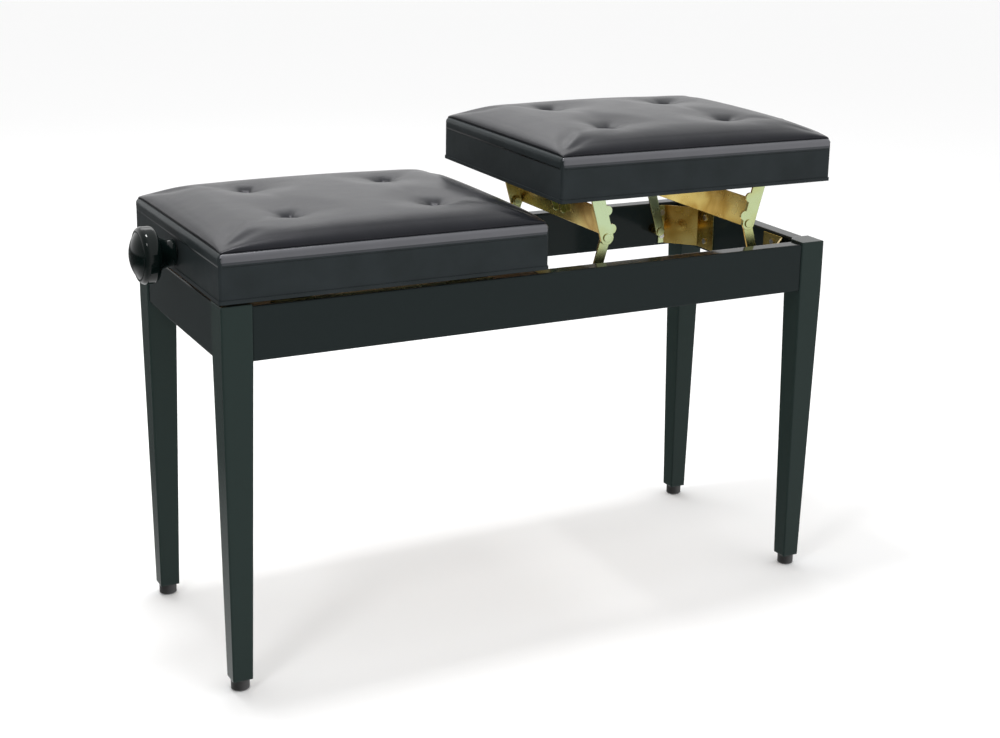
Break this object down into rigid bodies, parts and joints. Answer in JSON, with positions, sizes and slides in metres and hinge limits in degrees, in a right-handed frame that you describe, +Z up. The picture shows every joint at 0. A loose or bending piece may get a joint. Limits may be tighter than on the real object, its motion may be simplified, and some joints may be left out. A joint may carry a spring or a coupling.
{
  "type": "piano bench",
  "caption": "Duet piano bench in gloss black with two tufted seats, each raised level on folding steel leaves by a knob and spindle",
  "frame": {"origin": "on the floor under the middle of the bench", "axes": "+X to the right along the bench, +Y to the back, +Z up"},
  "size_m": [0.858, 0.3016, 0.5795],
  "materials": {
    "black_lacquer": "high-gloss black polyester lacquer on wood",
    "glide_black": "moulded black plastic",
    "raw_beech": "planed and unfinished",
    "plywood": "sanded and unfinished",
    "black_leatherette": "grained satin leatherette",
    "black_knob": "polished black",
    "bright_steel": "turned and oiled",
    "yellow_zinc": "yellow chromated zinc on steel, slightly iridescent"
  },
  "bodies": {
    "frame": {"apron_front": "black_lacquer", "apron_left": "black_lacquer", "apron_rear": "black_lacquer", "apron_right": "black_lacquer", "base_pivot_bolts": "yellow_zinc", "centre_cross_rail": "raw_beech", "corner_brace_front_left": "yellow_zinc", "corner_brace_front_right": "yellow_zinc", "corner_brace_rear_left": "yellow_zinc", "corner_brace_rear_right": "yellow_zinc", "frame_screws": "bright_steel", "hanger_bolts": "yellow_zinc", "leg_front_left": "black_lacquer", "leg_front_right": "black_lacquer", "leg_glides": "glide_black", "leg_rear_left": "black_lacquer", "leg_rear_right": "black_lacquer"},
    "left_lower_outer": {"left_lower_leaf_outer": "yellow_zinc"},
    "left_upper_outer": {"left_upper_leaf_outer": "yellow_zinc", "left_knee_rivets_outer": "yellow_zinc"},
    "left_nut_outer": {"left_traveller_outer": "bright_steel"},
    "left_lower_inner": {"left_lower_leaf_inner": "yellow_zinc"},
    "left_upper_inner": {"left_upper_leaf_inner": "yellow_zinc", "left_knee_rivets_inner": "yellow_zinc"},
    "left_nut_inner": {"left_traveller_inner": "bright_steel"},
    "left_screw": {"left_spindle": "bright_steel", "left_knob": "black_knob"},
    "left_seat": {"left_cushion": "black_leatherette", "left_pivot_rail_screws": "bright_steel", "left_pivot_rails": "yellow_zinc", "left_pivot_rivets": "yellow_zinc", "left_seat_band": "black_leatherette", "left_seat_board": "plywood", "left_seat_rail_front": "raw_beech", "left_seat_rail_inner": "raw_beech", "left_seat_rail_outer": "raw_beech", "left_seat_rail_rear": "raw_beech", "left_spindle_bearings": "bright_steel"},
    "right_lower_outer": {"right_lower_leaf_outer": "yellow_zinc"},
    "right_upper_outer": {"right_upper_leaf_outer": "yellow_zinc", "right_knee_rivets_outer": "yellow_zinc"},
    "right_nut_outer": {"right_traveller_outer": "bright_steel"},
    "right_lower_inner": {"right_lower_leaf_inner": "yellow_zinc"},
    "right_upper_inner": {"right_upper_leaf_inner": "yellow_zinc", "right_knee_rivets_inner": "yellow_zinc"},
    "right_nut_inner": {"right_traveller_inner": "bright_steel"},
    "right_screw": {"right_spindle": "bright_steel", "right_knob": "black_knob"},
    "right_seat": {"right_cushion": "black_leatherette", "right_pivot_rail_screws": "bright_steel", "right_pivot_rails": "yellow_zinc", "right_pivot_rivets": "yellow_zinc", "right_seat_band": "black_leatherette", "right_seat_board": "plywood", "right_seat_rail_front": "raw_beech", "right_seat_rail_inner": "raw_beech", "right_seat_rail_outer": "raw_beech", "right_seat_rail_rear": "raw_beech", "right_spindle_bearings": "bright_steel"}
  },
  "joints": [
    {"name": "left_seat_lift", "type": "hinge", "parent": "frame", "child": "left_lower_outer", "pos_m": [-0.307, 0, 0.39323], "axis": [0, 1, 0], "range_deg": [-52.72, 0]},
    {"name": "left_knee_outer", "type": "hinge", "parent": "left_lower_outer", "child": "left_upper_outer", "pos_m": [-0.25016, 0, 0.41536], "axis": [0, 1, 0], "range_deg": [0, 105.67]},
    {"name": "left_seat_pivot", "type": "hinge", "parent": "left_upper_outer", "child": "left_seat", "pos_m": [-0.307, 0, 0.4375], "axis": [0, 1, 0], "range_deg": [-52.84, 0]},
    {"name": "left_traveller_outer_slide", "type": "slide", "parent": "left_seat", "child": "left_nut_outer", "axis": [-1, 0, 0], "range_m": [-0.01572, 0]},
    {"name": "left_base_pivot_inner", "type": "hinge", "parent": "frame", "child": "left_lower_inner", "pos_m": [-0.073, 0, 0.39323], "axis": [0, -1, 0], "range_deg": [-52.84, 0]},
    {"name": "left_knee_inner", "type": "hinge", "parent": "left_lower_inner", "child": "left_upper_inner", "pos_m": [-0.12984, 0, 0.41536], "axis": [0, -1, 0], "range_deg": [0, 105.67]},
    {"name": "left_traveller_inner_slide", "type": "slide", "parent": "left_seat", "child": "left_nut_inner", "axis": [1, 0, 0], "range_m": [-0.01572, 0]},
    {"name": "left_spindle_turn", "type": "hinge", "parent": "left_seat", "child": "left_screw", "pos_m": [-0.194, 0, 0.4535], "axis": [-1, 0, 0], "range_deg": [-1400.03, 0]},
    {"name": "right_seat_lift", "type": "hinge", "parent": "frame", "child": "right_lower_outer", "pos_m": [0.307, 0, 0.39323], "axis": [0, -1, 0], "range_deg": [0, 52.72]},
    {"name": "right_knee_outer", "type": "hinge", "parent": "right_lower_outer", "child": "right_upper_outer", "pos_m": [0.29019, 0, 0.45186], "axis": [0, -1, 0], "range_deg": [-105.67, 0]},
    {"name": "right_seat_pivot", "type": "hinge", "parent": "right_upper_outer", "child": "right_seat", "pos_m": [0.307, 0, 0.5105], "axis": [0, -1, 0], "range_deg": [0, 52.84]},
    {"name": "right_traveller_outer_slide", "type": "slide", "parent": "right_seat", "child": "right_nut_outer", "axis": [1, 0, 0], "range_m": [0, 0.01572]},
    {"name": "right_base_pivot_inner", "type": "hinge", "parent": "frame", "child": "right_lower_inner", "pos_m": [0.073, 0, 0.39323], "axis": [0, 1, 0], "range_deg": [0, 52.84]},
    {"name": "right_knee_inner", "type": "hinge", "parent": "right_lower_inner", "child": "right_upper_inner", "pos_m": [0.08981, 0, 0.45186], "axis": [0, 1, 0], "range_deg": [-105.67, 0]},
    {"name": "right_traveller_inner_slide", "type": "slide", "parent": "right_seat", "child": "right_nut_inner", "axis": [-1, 0, 0], "range_m": [0, 0.01572]},
    {"name": "right_spindle_turn", "type": "hinge", "parent": "right_seat", "child": "right_screw", "pos_m": [0.194, 0, 0.5265], "axis": [1, 0, 0], "range_deg": [0, 1400.03]}
  ],
  "couplings": [
    {"joint": "left_knee_outer", "follows": "left_seat_lift", "ratio": -2},
    {"joint": "left_seat_pivot", "follows": "left_seat_lift", "ratio": 1},
    {"joint": "left_traveller_outer_slide", "follows": "left_seat_lift", "m_per_rad": 0.016869},
    {"joint": "left_base_pivot_inner", "follows": "left_seat_lift", "ratio": 1},
    {"joint": "left_knee_inner", "follows": "left_seat_lift", "ratio": -2},
    {"joint": "left_traveller_inner_slide", "follows": "left_seat_lift", "m_per_rad": 0.016869},
    {"joint": "left_spindle_turn", "follows": "left_seat_lift", "ratio": 26.498},
    {"joint": "right_knee_outer", "follows": "right_seat_lift", "ratio": -2},
    {"joint": "right_seat_pivot", "follows": "right_seat_lift", "ratio": 1},
    {"joint": "right_traveller_outer_slide", "follows": "right_seat_lift", "m_per_rad": 0.016869},
    {"joint": "right_base_pivot_inner", "follows": "right_seat_lift", "ratio": 1},
    {"joint": "right_knee_inner", "follows": "right_seat_lift", "ratio": -2},
    {"joint": "right_traveller_inner_slide", "follows": "right_seat_lift", "m_per_rad": 0.016869},
    {"joint": "right_spindle_turn", "follows": "right_seat_lift", "ratio": 26.498}
  ]
}
